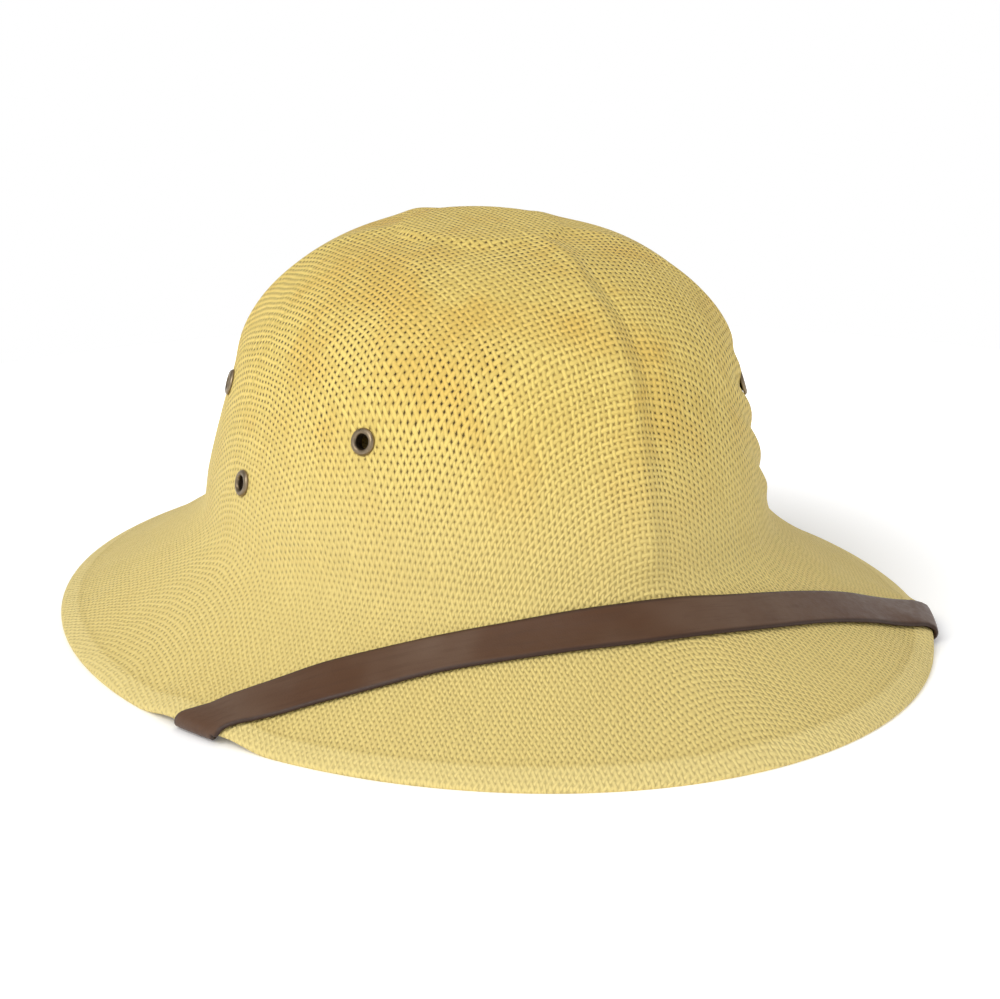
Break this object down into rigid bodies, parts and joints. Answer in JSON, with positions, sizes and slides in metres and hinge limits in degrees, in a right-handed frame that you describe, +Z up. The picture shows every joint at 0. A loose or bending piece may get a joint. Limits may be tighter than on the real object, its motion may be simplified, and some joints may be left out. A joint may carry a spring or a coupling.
{
  "type": "pith helmet",
  "caption": "Woven paper-straw pith helmet with a domed ribbed crown, sloping oval brim, metal ventilation eyelets and a leather chin strap laid over the front brim.",
  "frame": {"origin": "centre of the rim's box, on the surface that the rim rests on", "axes": "+Z up through the crown; -Y is the hat's front and +Y its back; -X is the wearer's right"},
  "size_m": [0.278, 0.3407, 0.1352],
  "materials": {
    "straw": "open plain weave of straw-yellow paper yarn, moulded and lightly sized, matt with a soft sheen",
    "strap_leather": "smooth dark brown leather with darker edges, satin",
    "eyelet_metal": "aged bronze plating, satin, worn brighter on the flange"
  },
  "bodies": {
    "root": {"shell": "straw", "chin_strap": "strap_leather", "eyelet_right_front": "eyelet_metal", "eyelet_right_middle": "eyelet_metal", "eyelet_right_back": "eyelet_metal", "eyelet_left_front": "eyelet_metal", "eyelet_left_middle": "eyelet_metal", "eyelet_left_back": "eyelet_metal"}
  },
  "joints": []
}
